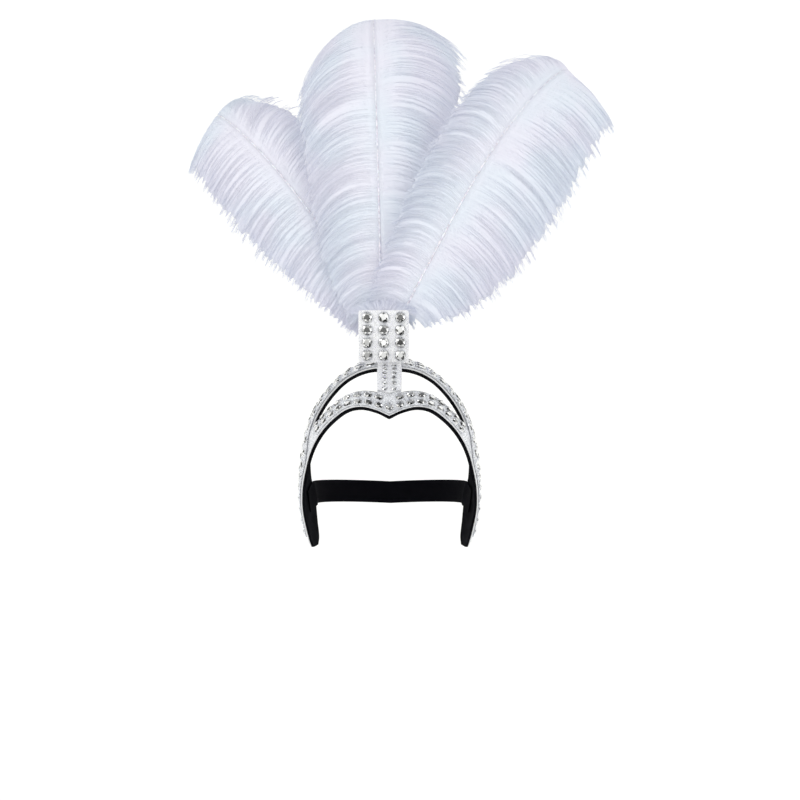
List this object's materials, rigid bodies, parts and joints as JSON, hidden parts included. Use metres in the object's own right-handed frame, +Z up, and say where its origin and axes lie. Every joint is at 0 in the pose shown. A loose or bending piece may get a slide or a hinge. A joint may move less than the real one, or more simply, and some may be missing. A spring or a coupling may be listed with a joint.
{
  "type": "showgirl feather headdress",
  "caption": "Stoned silver headdress frame with crescent windows and side arms, an upright front plate, a fan of curled white plumes and an elastic strap.",
  "frame": {"origin": "the point under the felt at the middle of the arch, where the crown of the wearer's head touches", "axes": "+Z up, front of the headdress toward -Y, +X to the right of someone facing the front"},
  "size_m": [0.4575, 0.2336, 0.5663],
  "materials": {
    "silver_glitter": "fine silver glitter",
    "black_felt": "matt felt",
    "crystal_stone": "foil-backed cut glass",
    "white_plume": "soft barbs",
    "black_elastic": "woven elastic"
  },
  "bodies": {
    "root": {"crown_shell": "silver_glitter", "felt_lining": "black_felt", "front_band_stones": "crystal_stone", "stone_field_left": "crystal_stone", "stone_field_right": "crystal_stone", "stem_strip": "silver_glitter", "front_plate": "silver_glitter", "plume_pocket": "black_felt", "plume_left": "white_plume", "plume_centre": "white_plume", "plume_right": "white_plume", "head_strap": "black_elastic", "plate_stone_01": "crystal_stone", "plate_stone_02": "crystal_stone", "plate_stone_03": "crystal_stone", "plate_stone_04": "crystal_stone", "plate_stone_05": "crystal_stone", "plate_stone_06": "crystal_stone", "plate_stone_07": "crystal_stone", "plate_stone_08": "crystal_stone", "plate_stone_09": "crystal_stone", "plate_stone_10": "crystal_stone", "plate_stone_11": "crystal_stone", "plate_stone_12": "crystal_stone", "stem_stone_01": "crystal_stone", "stem_stone_02": "crystal_stone", "stem_stone_03": "crystal_stone", "stem_stone_04": "crystal_stone", "stem_stone_05": "crystal_stone", "stem_stone_06": "crystal_stone", "stem_stone_07": "crystal_stone", "stem_stone_08": "crystal_stone", "stem_stone_09": "crystal_stone", "stem_stone_10": "crystal_stone", "stem_stone_11": "crystal_stone", "stem_stone_12": "crystal_stone"}
  },
  "joints": []
}
